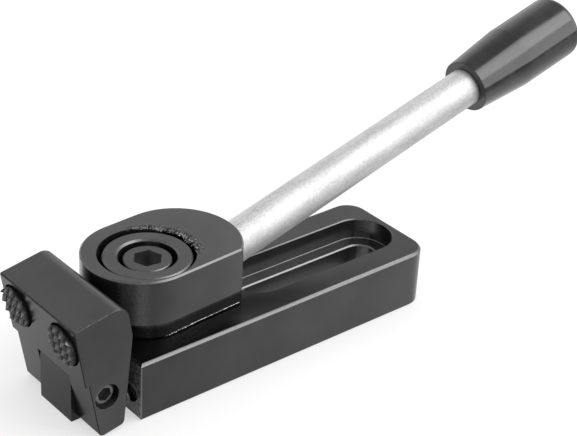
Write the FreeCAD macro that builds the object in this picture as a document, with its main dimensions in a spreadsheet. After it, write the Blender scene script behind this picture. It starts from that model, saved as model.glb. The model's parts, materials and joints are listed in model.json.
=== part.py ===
import FreeCAD, Part
import Sketcher
import math
import os

# Pull-down clamp with a cam lever. A two-legged jaw straddles the tongue of the base and tilts
# on a cross pin. The cam head of the lever turns on a flanged bush and pushes the jaw's back.
# Frame: X runs from the jaw (-) to the rear of the base (+), Y across, Z up.
# The origin lies on the bottom face, mid-width, under the front face of the base block.

V = FreeCAD.Vector

driving_sizes = [
    # base block with its clamping slot and front tongue
    ("base_length", 141.3), ("base_width", 48.0), ("base_height", 24.0),
    ("rear_corner_radius", 8.8), ("top_chamfer", 1.0), ("bottom_chamfer", 0.5),
    ("slot_radius", 12.5), ("slot_front", 59.0), ("slot_rear_wall", 3.0), ("ledge_depth", 9.0),
    ("stud_slot_radius", 6.75), ("slot_chamfer", 0.4), ("ledge_chamfer", 0.5),
    ("slot_root_fillet", 0.5),
    ("tongue_length", 20.5), ("tongue_width", 20.0), ("tongue_height", 22.5), ("tongue_chamfer", 0.5),
    # jaw, measured from its cross pin in its own upright pose
    ("pin_height", 16.8), ("jaw_tilt", 10.2), ("jaw_width", 48.0), ("cam_gap", 0.3),
    ("grip_face_reach", 7.45), ("leg_front_reach", 5.95), ("leg_step_height", 8.2),
    ("jaw_rise", 33.2), ("jaw_drop", 15.8), ("back_reach", 14.6), ("back_knee_height", 19.1),
    ("leg_taper", 16.0), ("jaw_front_chamfer", 0.5), ("jaw_back_fillet", 5.5),
    ("leg_foot_fillet", 2.0), ("jaw_edge_chamfer", 0.3), ("tongue_gap", 0.3), ("bridge_height", 8.2),
    # round gripper pads with pyramid teeth
    ("pad_radius", 7.9), ("pad_spread", 14.9), ("pad_height", 23.2), ("pad_proud", 2.8),
    ("pad_depth", 3.0), ("pad_ring_gap", 0.6), ("tooth_pitch", 3.9), ("tooth_depth", 2.1),
    ("pad_turn_near", 5.0), ("pad_turn_far", -14.0), ("pad_stem_radius", 4.0), ("pad_stem_length", 6.0),
    # cross pin and the hexagon socket screws that close its bore
    ("pin_radius", 4.0), ("pin_running_gap", 0.03), ("pin_length", 28.0), ("pin_chamfer", 0.5),
    ("plug_radius", 5.0), ("plug_length", 7.5), ("plug_recess", 1.8), ("plug_chamfer", 1.4),
    ("plug_hex", 5.0), ("plug_hex_depth", 4.5),
    # return springs between the base block and the legs
    ("spring_radius", 4.0), ("spring_wire", 1.4), ("spring_pitch", 3.2), ("spring_spread", 17.1),
    ("spring_drop", 7.2), ("spring_gap", 0.1), ("spring_bore_gap", 0.6),
    ("base_pocket_depth", 8.0), ("leg_pocket_depth", 3.0),
    # cam head of the lever: an eccentric plate above a narrower boss
    ("pivot_x", 19.4), ("lever_angle", 3.5), ("deck_gap", 0.2), ("boss_height", 9.0),
    ("cam_thickness", 18.0), ("boss_radius", 14.4), ("lobe_radius", 22.0), ("lobe_offset", 3.6),
    ("lobe_lead", 0.4),
    ("end_radius", 24.4), ("end_center", 14.9), ("cam_chamfer", 0.6), ("boss_chamfer", 0.5),
    ("recess_radius", 18.2), ("recess_shift", 0.9), ("recess_lead", 0.4), ("recess_depth", 16.0),
    # flanged bush and its socket head screw
    ("bush_radius", 10.0), ("bush_running_gap", 0.03), ("flange_radius", 16.5), ("flange_inset", 0.2),
    ("flange_lift", 0.2), ("flange_chamfer", 0.5), ("screw_recess_radius", 10.9),
    ("screw_recess_chamfer", 0.7), ("bush_bore_gap", 0.5),
    ("screw_radius", 6.0), ("screw_head_radius", 9.0), ("screw_head_height", 12.0),
    ("screw_inset", 1.35), ("screw_length", 35.0), ("screw_hex", 10.0), ("screw_hex_depth", 6.0),
    ("screw_head_chamfer", 0.35), ("thread_depth", 22.5),
    # lever rod and grip
    ("rod_radius", 8.0), ("rod_rise", 12.65), ("rod_height", 15.9), ("rod_reach", 134.0),
    ("rod_seat_depth", 15.0), ("rod_chamfer", 0.6), ("stud_radius", 6.0), ("stud_length", 26.0),
    ("insert_radius", 8.0), ("insert_length", 30.0), ("insert_collar", 1.0),
    ("grip_length", 59.5), ("grip_neck_radius", 11.3), ("grip_crease", 27.0),
    ("grip_crease_radius", 13.65), ("grip_end_radius", 13.75), ("grip_end_fillet", 3.0),
    ("grip_neck_fillet", 0.4),
]

doc = FreeCAD.newDocument("PullDownClamp")
sheet = doc.addObject("Spreadsheet::Sheet", "Sizes")
for row, (name, value) in enumerate(driving_sizes, start=1):
    sheet.set(f"A{row}", name)
    sheet.set(f"B{row}", str(value))
    sheet.setAlias(f"B{row}", name)

# places that follow from the driving sizes
derived_sizes = [
    ("slot_front_center", "=slot_front + slot_radius"),
    ("slot_rear_center", "=base_length - slot_rear_wall - slot_radius"),
    ("lobe_front", "=pivot_x - lobe_lead * cos(lever_angle * 1deg) - lobe_offset * sin(lever_angle * 1deg)"
                   " - lobe_radius"),
    ("pin_setback", "=back_reach * cos(jaw_tilt * 1deg) - back_knee_height * sin(jaw_tilt * 1deg)"
                    " - lobe_front + cam_gap"),
    ("leg_gap", "=tongue_width + 2 * tongue_gap"),
    ("leg_foot_reach", "=back_reach - (back_knee_height + jaw_drop) * tan(leg_taper * 1deg)"),
    ("spring_seat", "=back_reach - (back_knee_height + spring_drop) * tan(leg_taper * 1deg)"
                    " - leg_pocket_depth"),
    ("leg_pocket_drop", "=(spring_drop + (spring_seat + leg_pocket_depth / 2) * sin(jaw_tilt * 1deg))"
                        " / cos(jaw_tilt * 1deg)"),
    ("spring_front", "=spring_gap - pin_setback + (spring_seat + (spring_drop + spring_radius)"
                     " * sin(jaw_tilt * 1deg)) / cos(jaw_tilt * 1deg)"),
    ("spring_rear", "=base_pocket_depth - spring_gap"),
    ("head_height", "=boss_height + cam_thickness"),
    ("near_flank", "=lobe_offset - lobe_radius"),
    ("far_flank", "=lobe_offset + lobe_radius"),
    ("end_offset", "=far_flank - end_radius"),
    ("end_reach", "=end_center + sqrt(end_radius^2 - end_offset^2)"),
    ("end_corner", "=end_center + sqrt(end_radius^2 - (end_offset - near_flank)^2)"),
    ("recess_floor", "=head_height - recess_depth"),
    ("flange_top", "=head_height + deck_gap - flange_inset"),
    ("flange_bottom", "=deck_gap + recess_floor + flange_lift"),
    ("screw_top", "=flange_top - screw_inset"),
    ("screw_seat", "=screw_top - screw_head_height"),
    ("rod_start", "=end_reach - rod_seat_depth * cos(rod_rise * 1deg)"),
    ("rod_start_height", "=rod_height - rod_seat_depth * sin(rod_rise * 1deg)"),
    ("rod_length", "=rod_seat_depth + rod_reach"),
]
first_row = len(driving_sizes) + 2
for row, (name, formula) in enumerate(derived_sizes, start=first_row):
    sheet.set(f"A{row}", name)
    sheet.set(f"B{row}", formula)
    sheet.setAlias(f"B{row}", name)
doc.recompute()

# the layout sheet works out the start value of each sketch place
layout = doc.addObject("Spreadsheet::Sheet", "Layout")
layout_rows = {}


def number(formula):
    if formula not in layout_rows:
        row = len(layout_rows) + 1
        layout_rows[formula] = row
        layout.set(f"A{row}", "=" + formula.replace("$", "Sizes."))
        layout.recompute()
    return float(layout.get(f"A{layout_rows[formula]}"))


def bind(thing, path, formula):
    thing.setExpression(path, formula.replace("$", "Sizes."))


def new_body(label):
    body = doc.addObject("PartDesign::Body", label)
    body.Label = label
    return body


def place(body, x, y, z, turn="0", pitch="0"):
    place_text = f"placement(vector({x}; {y}; {z}); rotation({turn}; {pitch}; 0))"
    bind(body, "Placement", place_text)


def new_sketch(body, name, role, lift="0", tilt=None):
    sketch = body.newObject("Sketcher::SketchObject", name)
    plane = next(f for f in body.Origin.OriginFeatures if f.Role == role)
    sketch.AttachmentSupport = (plane, [""])
    sketch.MapMode = "FlatFace"
    if tilt is not None:
        sketch.AttachmentOffset = FreeCAD.Placement(V(0, 0, 0), FreeCAD.Rotation(V(1, 0, 0), 1.0))
        bind(sketch, "AttachmentOffset.Rotation.Angle", tilt[1])
        bind(sketch, "AttachmentOffset.Base.y", tilt[0])
    bind(sketch, "AttachmentOffset.Base.z", lift)
    return sketch


def fix_point(sketch, geo, point, x=None, y=None):
    if x is not None:
        index = sketch.addConstraint(Sketcher.Constraint("DistanceX", -1, 1, geo, point, number(x)))
        bind(sketch, f"Constraints[{index}]", x)
    if y is not None:
        index = sketch.addConstraint(Sketcher.Constraint("DistanceY", -1, 1, geo, point, number(y)))
        bind(sketch, f"Constraints[{index}]", y)


def fix_radius(sketch, geo, radius):
    index = sketch.addConstraint(Sketcher.Constraint("Radius", geo, number(radius)))
    bind(sketch, f"Constraints[{index}]", radius)


def add_polygon(sketch, corners):
    places = [V(number(x), number(y), 0) for x, y in corners]
    count = len(places)
    lines = [sketch.addGeometry(Part.LineSegment(places[i], places[(i + 1) % count]), False)
             for i in range(count)]
    for i in range(count):
        sketch.addConstraint(Sketcher.Constraint("Coincident", lines[i], 2, lines[(i + 1) % count], 1))
    for line, (x, y) in zip(lines, corners):
        fix_point(sketch, line, 1, x, y)
    return lines


def add_circle(sketch, x, y, radius):
    circle = sketch.addGeometry(Part.Circle(V(number(x), number(y), 0), V(0, 0, 1), number(radius)), False)
    fix_point(sketch, circle, 3, x, y)
    fix_radius(sketch, circle, radius)
    return circle


def add_rectangle(sketch, x_low, y_low, x_high, y_high):
    return add_polygon(sketch, [(x_low, y_low), (x_high, y_low), (x_high, y_high), (x_low, y_high)])


def add_hexagon(sketch, x, y, across_flats, turn=30.0):
    corners = []
    for step in range(6):
        angle = turn + 60.0 * step
        corners.append((f"{x} + {across_flats} / sqrt(3) * cos({angle}deg)",
                        f"{y} + {across_flats} / sqrt(3) * sin({angle}deg)"))
    return add_polygon(sketch, corners)


def add_slot(sketch, x_front, x_rear, radius):
    # long hole along the sketch's first axis, centred on it
    front, rear, r = number(x_front), number(x_rear), number(radius)
    low = sketch.addGeometry(Part.LineSegment(V(front, -r, 0), V(rear, -r, 0)), False)
    rear_arc = sketch.addGeometry(Part.ArcOfCircle(
        Part.Circle(V(rear, 0, 0), V(0, 0, 1), r), -math.pi / 2, math.pi / 2), False)
    high = sketch.addGeometry(Part.LineSegment(V(rear, r, 0), V(front, r, 0)), False)
    front_arc = sketch.addGeometry(Part.ArcOfCircle(
        Part.Circle(V(front, 0, 0), V(0, 0, 1), r), math.pi / 2, 3 * math.pi / 2), False)
    for first, second in ((low, rear_arc), (rear_arc, high), (high, front_arc), (front_arc, low)):
        sketch.addConstraint(Sketcher.Constraint("Coincident", first, 2, second, 1))
    sketch.addConstraint(Sketcher.Constraint("PointOnObject", rear_arc, 3, -1))
    sketch.addConstraint(Sketcher.Constraint("PointOnObject", front_arc, 3, -1))
    fix_point(sketch, rear_arc, 3, x_rear)
    fix_point(sketch, front_arc, 3, x_front)
    fix_radius(sketch, rear_arc, radius)
    fix_point(sketch, low, 1, x_front, f"-{radius}")
    fix_point(sketch, low, 2, x_rear)
    fix_point(sketch, high, 1, x_rear)
    fix_point(sketch, high, 2, x_front)


def add_pad(body, name, sketch, length, symmetric=False, reverse=False):
    pad = body.newObject("PartDesign::Pad", name)
    pad.Profile = sketch
    pad.SideType = "Symmetric" if symmetric else "One side"
    pad.Reversed = reverse
    bind(pad, "Length", length)
    doc.recompute()
    return pad


def add_pocket(body, name, sketch, length=None, symmetric=False, reverse=False):
    before = body.Shape.Volume
    pocket = body.newObject("PartDesign::Pocket", name)
    pocket.Profile = sketch
    pocket.SideType = "Symmetric" if symmetric else "One side"
    pocket.Reversed = reverse
    if length is None:
        pocket.Type = "ThroughAll"
    else:
        bind(pocket, "Length", length)
    doc.recompute()
    if not body.Shape.Volume < before - 0.01:
        raise RuntimeError(f"{body.Label}: {name} cut nothing")
    return pocket


def add_revolution(body, name, sketch, axis="H_Axis"):
    turned = body.newObject("PartDesign::Revolution", name)
    turned.Profile = sketch
    turned.ReferenceAxis = (sketch, [axis])
    turned.Angle = 360
    doc.recompute()
    return turned


def edge_names(shape, wanted):
    return [f"Edge{i + 1}" for i, edge in enumerate(shape.Edges) if wanted(edge)]


def dress_edges(body, kind, name, size, wanted):
    # a fillet or chamfer on each edge of the body's last shape that the test picks
    tip = body.Tip
    names = edge_names(tip.Shape, wanted)
    if not names:
        raise RuntimeError(f"{body.Label}: {name} found no edge")
    dress = body.newObject(f"PartDesign::{kind}", name)
    dress.Base = (tip, names)
    bind(dress, "Radius" if kind == "Fillet" else "Size", size)
    doc.recompute()
    if "Invalid" in dress.State:
        raise RuntimeError(f"{body.Label}: {name} failed")
    return dress


def lies_flat(edge, axis, value, tolerance=0.01):
    box = edge.BoundBox
    low, high = {"x": (box.XMin, box.XMax), "y": (box.YMin, box.YMax), "z": (box.ZMin, box.ZMax)}[axis]
    return abs(low - value) < tolerance and abs(high - value) < tolerance


def passes(edge, **places):
    box = edge.BoundBox
    spans = {"x": (box.XMin, box.XMax), "y": (box.YMin, box.YMax), "z": (box.ZMin, box.ZMax)}
    return all(abs(spans[axis][0] - value) < 0.01 and abs(spans[axis][1] - value) < 0.01
               for axis, value in places.items())


def make_base_body():
    # block and tongue, a stepped slot for the clamping stud, the screw hole and the spring pockets
    body = new_body("base_body")
    block = new_sketch(body, "BlockPlan", "XY_Plane")
    add_rectangle(block, "0", "-$base_width / 2", "$base_length", "$base_width / 2")
    add_pad(body, "Block", block, "$base_height")
    tongue = new_sketch(body, "TonguePlan", "XY_Plane")
    add_rectangle(tongue, "-$tongue_length", "-$tongue_width / 2", "1", "$tongue_width / 2")
    add_pad(body, "Tongue", tongue, "$tongue_height")
    length, height = number("$base_length"), number("$base_height")
    tongue_top = number("$tongue_height")
    dress_edges(body, "Fillet", "RearCorners", "$rear_corner_radius",
                lambda e: passes(e, x=length) and e.BoundBox.ZLength > height - 1)
    slot = new_sketch(body, "SlotPlan", "XY_Plane", "$base_height")
    add_slot(slot, "$slot_front_center", "$slot_rear_center", "$slot_radius")
    add_pocket(body, "WasherSlot", slot, "$ledge_depth")
    stud = new_sketch(body, "StudPlan", "XY_Plane", "$base_height")
    add_slot(stud, "$slot_front_center", "$slot_rear_center", "$stud_slot_radius")
    add_pocket(body, "StudSlot", stud)
    hole = new_sketch(body, "ScrewPlan", "XY_Plane", "$base_height")
    add_circle(hole, "$pivot_x", "0", "$screw_radius")
    add_pocket(body, "ScrewHole", hole, "$thread_depth")
    bore = new_sketch(body, "PinSide", "XZ_Plane")
    add_circle(bore, "-$pin_setback", "$pin_height", "$pin_radius + $pin_running_gap")
    add_pocket(body, "PinBore", bore, "$tongue_width + 2", symmetric=True)
    springs = new_sketch(body, "SpringFront", "YZ_Plane")
    for side in ("-", ""):
        add_circle(springs, f"{side}$spring_spread", "$pin_height - $spring_drop",
                   "$spring_radius + $spring_bore_gap")
    add_pocket(body, "SpringPockets", springs, "$base_pocket_depth", reverse=True)
    ledge = height - number("$ledge_depth")
    half = number("$base_width") / 2
    slot_front = number("$slot_front")
    on_outline = lambda e: (e.BoundBox.XMin < slot_front - 1 or e.BoundBox.YMax > half - 1
                            or e.BoundBox.YMin < 1 - half or e.BoundBox.XMax > length - 0.01)
    dress_edges(body, "Fillet", "SlotRoot", "$slot_root_fillet", lambda e: passes(e, z=ledge)
                and max(e.BoundBox.YMax, -e.BoundBox.YMin) > number("$slot_radius") - 0.01)
    dress_edges(body, "Chamfer", "LedgeEdge", "$ledge_chamfer", lambda e: passes(e, z=ledge)
                and e.BoundBox.YMax < number("$stud_slot_radius") + 0.01
                and e.BoundBox.YMin > -number("$stud_slot_radius") - 0.01)
    dress_edges(body, "Chamfer", "SlotEdge", "$slot_chamfer", lambda e: passes(e, z=height)
                and not on_outline(e) and e.BoundBox.XMin > slot_front - 1)
    dress_edges(body, "Chamfer", "TopEdge", "$top_chamfer", lambda e: passes(e, z=height)
                and on_outline(e) and (e.BoundBox.YLength > 20 or e.BoundBox.XMin > -0.01)
                and abs(e.CenterOfMass.x - number("$pivot_x")) > number("$screw_radius"))
    dress_edges(body, "Chamfer", "TongueEdge", "$tongue_chamfer",
                lambda e: passes(e, z=tongue_top) and e.BoundBox.XMin < -0.01)
    dress_edges(body, "Chamfer", "BottomEdge", "$bottom_chamfer", lambda e: passes(e, z=0)
                and on_outline(e) and e.BoundBox.XMin > -0.01)
    return body


def make_jaw():
    # profile pushed across the width, slotted for the tongue, tilted about the cross pin
    body = new_body("jaw")
    side = new_sketch(body, "JawSide", "XZ_Plane")
    add_polygon(side, [
        ("-$leg_front_reach", "-$jaw_drop"), ("$leg_foot_reach", "-$jaw_drop"),
        ("$back_reach", "$back_knee_height"), ("$back_reach", "$jaw_rise"),
        ("-$grip_face_reach", "$jaw_rise"), ("-$grip_face_reach", "$leg_step_height"),
        ("-$leg_front_reach", "$leg_step_height")])
    add_pad(body, "JawBlock", side, "$jaw_width", symmetric=True)
    rise, drop = number("$jaw_rise"), number("$jaw_drop")
    back, front = number("$back_reach"), number("$grip_face_reach")
    dress_edges(body, "Fillet", "BackFillet", "$jaw_back_fillet", lambda e: passes(e, x=back, z=rise))
    dress_edges(body, "Fillet", "FootFillets", "$leg_foot_fillet",
                lambda e: passes(e, z=-drop) and e.BoundBox.YLength > 1)
    dress_edges(body, "Chamfer", "FrontEdge", "$jaw_front_chamfer", lambda e: passes(e, x=-front, z=rise))
    half = number("$jaw_width") / 2
    dress_edges(body, "Chamfer", "SideEdges", "$jaw_edge_chamfer",
                lambda e: passes(e, y=half) or passes(e, y=-half))
    gap = new_sketch(body, "LegGap", "YZ_Plane")
    add_rectangle(gap, "-$leg_gap / 2", "-$jaw_drop - 1", "$leg_gap / 2", "$bridge_height")
    add_pocket(body, "TongueGap", gap, "4 * $back_reach", symmetric=True)
    bore = new_sketch(body, "JawBore", "XZ_Plane")
    add_circle(bore, "0", "0", "$pin_radius")
    add_pocket(body, "PinBore", bore, "$jaw_width + 2", symmetric=True)
    depth = "$plug_recess + $plug_length"
    for name, reverse in (("NearThread", True), ("FarThread", False)):
        lift = "$jaw_width / 2" if reverse is True else "-$jaw_width / 2"
        thread = new_sketch(body, name + "Plan", "XZ_Plane", lift)
        add_circle(thread, "0", "0", "$plug_radius")
        add_pocket(body, name, thread, depth, reverse=not reverse)
    seats = new_sketch(body, "PadSeatPlan", "YZ_Plane", "-$grip_face_reach")
    stems = new_sketch(body, "PadStemPlan", "YZ_Plane", "-$grip_face_reach")
    for sign in ("-", ""):
        add_circle(seats, f"{sign}$pad_spread", "$pad_height", "$pad_radius + $pad_ring_gap")
        add_circle(stems, f"{sign}$pad_spread", "$pad_height", "$pad_stem_radius")
    add_pocket(body, "PadSeats", seats, "$pad_depth", reverse=True)
    add_pocket(body, "PadStems", stems, "$pad_depth + $pad_stem_length", reverse=True)
    springs = new_sketch(body, "LegPocketPlan", "YZ_Plane", "$spring_seat")
    for sign in ("-", ""):
        add_circle(springs, f"{sign}$spring_spread", "-$leg_pocket_drop",
                   "$spring_radius + $spring_bore_gap")
    add_pocket(body, "LegPockets", springs, "2 * $back_reach", reverse=True)
    place(body, "-$pin_setback", "0", "$pin_height", pitch="-$jaw_tilt")
    return body


def make_grip_pad(label, sign, turn):
    # turned button with a stem, its face cut by two crossing sets of V grooves
    body = new_body(label)
    button = new_sketch(body, "ButtonPlan", "YZ_Plane", "-$pad_proud")
    add_circle(button, "0", "0", "$pad_radius")
    add_pad(body, "Button", button, "$pad_proud + $pad_depth")
    stem = new_sketch(body, "StemPlan", "YZ_Plane", "$pad_depth")
    add_circle(stem, "0", "0", "$pad_stem_radius")
    add_pad(body, "Stem", stem, "$pad_stem_length - 0.5")
    count = int(number("$pad_radius / $tooth_pitch")) + 1
    for name, role, flip in (("UpGrooves", "XY_Plane", False), ("CrossGrooves", "XZ_Plane", True)):
        teeth = new_sketch(body, name + "Plan", role)
        for step in range(-count, count + 1):
            middle = f"({step} * $tooth_pitch)"
            run = [("-$pad_proud - 0.1", f"{middle} - $tooth_pitch / 2 * (1 + 0.1 / $tooth_depth)"),
                   ("-$pad_proud + $tooth_depth", f"{middle}"),
                   ("-$pad_proud - 0.1", f"{middle} + $tooth_pitch / 2 * (1 + 0.1 / $tooth_depth)")]
            add_polygon(teeth, run)
        add_pocket(body, name, teeth, "4 * $pad_radius", symmetric=True)
    return body


def place_on_jaw(body, x, y, z, turn):
    # the jaw's tilt first, then the place on the jaw in its own upright frame
    tilt = "$jaw_tilt * 1deg"
    bind(body, "Placement",
         f"placement(vector(-$pin_setback + ({x}) * cos({tilt}) - ({z}) * sin({tilt}); {y};"
         f" $pin_height + ({x}) * sin({tilt}) + ({z}) * cos({tilt})); rotation(0; -$jaw_tilt; {turn}))")


def make_pivot_pin():
    body = new_body("pivot_pin")
    plan = new_sketch(body, "PinPlan", "XZ_Plane")
    add_circle(plan, "0", "0", "$pin_radius")
    add_pad(body, "Pin", plan, "$pin_length", symmetric=True)
    dress_edges(body, "Chamfer", "Ends", "$pin_chamfer", lambda e: len(e.Vertexes) == 1)
    place(body, "-$pin_setback", "0", "$pin_height", pitch="-$jaw_tilt")
    return body


def make_plug_screw(label, sign):
    # headless screw with a hexagon socket, its outer end on the plane of the body's origin
    body = new_body(label)
    plan = new_sketch(body, "PlugPlan", "XZ_Plane")
    add_circle(plan, "0", "0", "$plug_radius")
    add_pad(body, "Plug", plan, "$plug_length", reverse=(sign == "-"))
    dress_edges(body, "Chamfer", "OuterEnd", "$plug_chamfer",
                lambda e: len(e.Vertexes) == 1 and lies_flat(e, "y", 0))
    socket = new_sketch(body, "SocketPlan", "XZ_Plane")
    add_hexagon(socket, "0", "0", "$plug_hex")
    add_pocket(body, "Socket", socket, "$plug_hex_depth", reverse=(sign != "-"))
    place(body, "-$pin_setback", f"{sign}($jaw_width / 2 - $plug_recess)", "$pin_height",
          pitch="-$jaw_tilt")
    return body


def make_return_spring(label, sign):
    # coil of many-sided wire along X, its two ends ground flat
    coil = doc.addObject("Part::Helix", label + "_line")
    wire = doc.addObject("Part::RegularPolygon", label + "_wire")
    sweep = doc.addObject("Part::Sweep", label + "_coil")
    ends = doc.addObject("Part::Cylinder", label + "_ends")
    spring = doc.addObject("Part::Common", label)
    reach = "($spring_rear - $spring_front)"
    bind(coil, "Pitch", "$spring_pitch")
    bind(coil, "Height", f"{reach} + 2 * $spring_wire")
    bind(coil, "Radius", "$spring_radius - $spring_wire / 2")
    coil.setExpression("Placement.Base.z", "-Sizes.spring_wire")
    wire.Polygon = 10
    coil.SegmentLength = 1
    bind(wire, "Circumradius", "$spring_wire / 2")
    wire.Placement = FreeCAD.Placement(V(0, 0, 0), FreeCAD.Rotation(V(1, 0, 0), 90))
    wire.setExpression("Placement.Base.x", "Sizes.spring_radius - Sizes.spring_wire / 2")
    wire.setExpression("Placement.Base.z", "-Sizes.spring_wire")
    sweep.Sections = [wire]
    sweep.Spine = (coil, [])
    sweep.Solid = True
    sweep.Frenet = True
    bind(ends, "Radius", "$spring_radius + 1")
    bind(ends, "Height", reach)
    doc.recompute()
    spring.Base = sweep
    spring.Tool = ends
    spring.Label = label
    bind(spring, "Placement",
         f"placement(vector($spring_front; {sign}$spring_spread; $pin_height - $spring_drop);"
         " rotation(0; 90; 0))")
    doc.recompute()
    return spring


def make_cam_head():
    # eccentric plate and narrower boss, both cut off by one round end, bored for the bush and rod
    body = new_body("cam_head")
    plan = new_sketch(body, "CamPlan", "XY_Plane", "$boss_height")
    add_head_outline(plan, "$lobe_radius", "-$lobe_lead", "$lobe_offset")
    add_pad(body, "CamPlate", plan, "$cam_thickness")
    foot = new_sketch(body, "BossPlan", "XY_Plane")
    add_head_outline(foot, "$boss_radius", "0", "0")
    add_pad(body, "Boss", foot, "$boss_height")
    recess = new_sketch(body, "RecessPlan", "XY_Plane", "$head_height")
    add_circle(recess, "$recess_lead", "$recess_shift", "$recess_radius")
    add_pocket(body, "Recess", recess, "$recess_depth")
    bore = new_sketch(body, "BorePlan", "XY_Plane", "$head_height")
    add_circle(bore, "0", "0", "$bush_radius + $bush_running_gap")
    add_pocket(body, "Bore", bore)
    seat = new_sketch(body, "RodSeatPlan", "YZ_Plane", "$rod_start", tilt=("$rod_start_height", "-$rod_rise"))
    add_circle(seat, "0", "0", "$rod_radius")
    add_pocket(body, "RodSeat", seat, "$rod_seat_depth + $rod_radius", reverse=True)
    top = number("$head_height")
    recess_edge = number("$recess_radius + $recess_shift")
    dress_edges(body, "Chamfer", "TopEdge", "$cam_chamfer", lambda e: lies_flat(e, "z", top)
                and not (len(e.Vertexes) == 1 and e.BoundBox.YMax < recess_edge + 0.01))
    dress_edges(body, "Chamfer", "FootEdge", "$boss_chamfer", lambda e: lies_flat(e, "z", 0)
                and len(e.Vertexes) == 2)
    place(body, "$pivot_x", "0", "$base_height + $deck_gap", turn="$lever_angle")
    return body


def add_head_outline(sketch, radius, lead, offset):
    # round nose about the pivot, two straight flanks along the lever, one common round rear end
    near, far = f"({offset} - {radius})", f"({offset} + {radius})"
    r, nose_x, nose_y, end_r = number(radius), number(lead), number(offset), number("$end_radius")
    end_x, end_y = number("$end_center"), number("$end_offset")
    near_x = end_x + math.sqrt(end_r ** 2 - (end_y - number(near)) ** 2)
    far_x = end_x + math.sqrt(max(end_r ** 2 - (end_y - number(far)) ** 2, 0.0))
    low, high = V(nose_x, number(near), 0), V(nose_x, number(far), 0)
    low_end, high_end = V(near_x, number(near), 0), V(far_x, number(far), 0)
    near_line = sketch.addGeometry(Part.LineSegment(low, low_end), False)
    end_arc = sketch.addGeometry(Part.ArcOfCircle(
        Part.Circle(V(end_x, end_y, 0), V(0, 0, 1), end_r),
        math.atan2(low_end.y - end_y, low_end.x - end_x),
        math.atan2(high_end.y - end_y, high_end.x - end_x)), False)
    far_line = sketch.addGeometry(Part.LineSegment(high_end, high), False)
    nose = sketch.addGeometry(Part.ArcOfCircle(
        Part.Circle(V(nose_x, nose_y, 0), V(0, 0, 1), r), math.pi / 2, 3 * math.pi / 2), False)
    for first, second in ((near_line, end_arc), (end_arc, far_line), (far_line, nose), (nose, near_line)):
        sketch.addConstraint(Sketcher.Constraint("Coincident", first, 2, second, 1))
    fix_point(sketch, nose, 3, lead, offset)
    fix_radius(sketch, nose, radius)
    fix_point(sketch, near_line, 1, lead)
    fix_point(sketch, far_line, 2, lead)
    fix_point(sketch, near_line, 2, y=near)
    fix_point(sketch, end_arc, 3, "$end_center", "$end_offset")
    fix_radius(sketch, end_arc, "$end_radius")
    if abs(far_x - end_x) < 1e-6:
        fix_point(sketch, far_line, 1, "$end_center")
    else:
        fix_point(sketch, far_line, 1, y=far)


def make_pivot_bush():
    # turned bush: running fit in the boss, flange in the recess, counterbore for the screw head
    body = new_body("pivot_bush")
    half = new_sketch(body, "BushHalf", "XZ_Plane")
    bore = "$screw_radius + $bush_bore_gap"
    add_polygon(half, [
        (bore, "0"), ("$bush_radius - $flange_chamfer", "0"), ("$bush_radius", "$flange_chamfer"),
        ("$bush_radius", "$flange_bottom"), ("$flange_radius", "$flange_bottom"),
        ("$flange_radius", "$flange_top - $flange_chamfer"),
        ("$flange_radius - $flange_chamfer", "$flange_top"),
        ("$screw_recess_radius + $screw_recess_chamfer", "$flange_top"),
        ("$screw_recess_radius", "$flange_top - $screw_recess_chamfer"),
        ("$screw_recess_radius", "$screw_seat"), (bore, "$screw_seat")])
    add_revolution(body, "Bush", half, "V_Axis")
    place(body, "$pivot_x", "0", "$base_height")
    return body


def make_cam_screw():
    # socket head screw that holds the bush down on the base
    body = new_body("cam_screw")
    half = new_sketch(body, "ScrewHalf", "XZ_Plane")
    add_polygon(half, [
        ("0", "$screw_seat - $screw_length"),
        ("$screw_radius - $screw_head_chamfer", "$screw_seat - $screw_length"),
        ("$screw_radius", "$screw_seat - $screw_length + $screw_head_chamfer"),
        ("$screw_radius", "$screw_seat"), ("$screw_head_radius", "$screw_seat"),
        ("$screw_head_radius", "$screw_top - $screw_head_chamfer"),
        ("$screw_head_radius - $screw_head_chamfer", "$screw_top"), ("0", "$screw_top")])
    add_revolution(body, "Screw", half, "V_Axis")
    socket = new_sketch(body, "SocketPlan", "XY_Plane", "$screw_top")
    add_hexagon(socket, "0", "0", "$screw_hex", turn=50.0)
    add_pocket(body, "Socket", socket, "$screw_hex_depth")
    place(body, "$pivot_x", "0", "$base_height")
    return body


def place_on_rod(body, along):
    # the rod's own frame: its first axis runs out along the rod from its seat in the head
    reach = f"($rod_start + ({along}) * cos($rod_rise * 1deg))"
    turn = "$lever_angle * 1deg"
    bind(body, "Placement",
         f"placement(vector($pivot_x + {reach} * cos({turn}); {reach} * sin({turn});"
         f" $base_height + $deck_gap + $rod_start_height + ({along}) * sin($rod_rise * 1deg));"
         " rotation($lever_angle; -$rod_rise; 0))")


def make_lever_rod():
    body = new_body("lever_rod")
    half = new_sketch(body, "RodHalf", "XY_Plane")
    stud_end = "$rod_length + $stud_length"
    add_polygon(half, [
        ("0", "0"), (stud_end, "0"), (stud_end, "$stud_radius - $rod_chamfer"),
        (f"{stud_end} - $rod_chamfer", "$stud_radius"), ("$rod_length", "$stud_radius"),
        ("$rod_length", "$rod_radius - $rod_chamfer"),
        ("$rod_length - $rod_chamfer", "$rod_radius"), ("$rod_chamfer", "$rod_radius"),
        ("0", "$rod_radius - $rod_chamfer")])
    add_revolution(body, "Rod", half)
    place_on_rod(body, "0")
    return body


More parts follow.
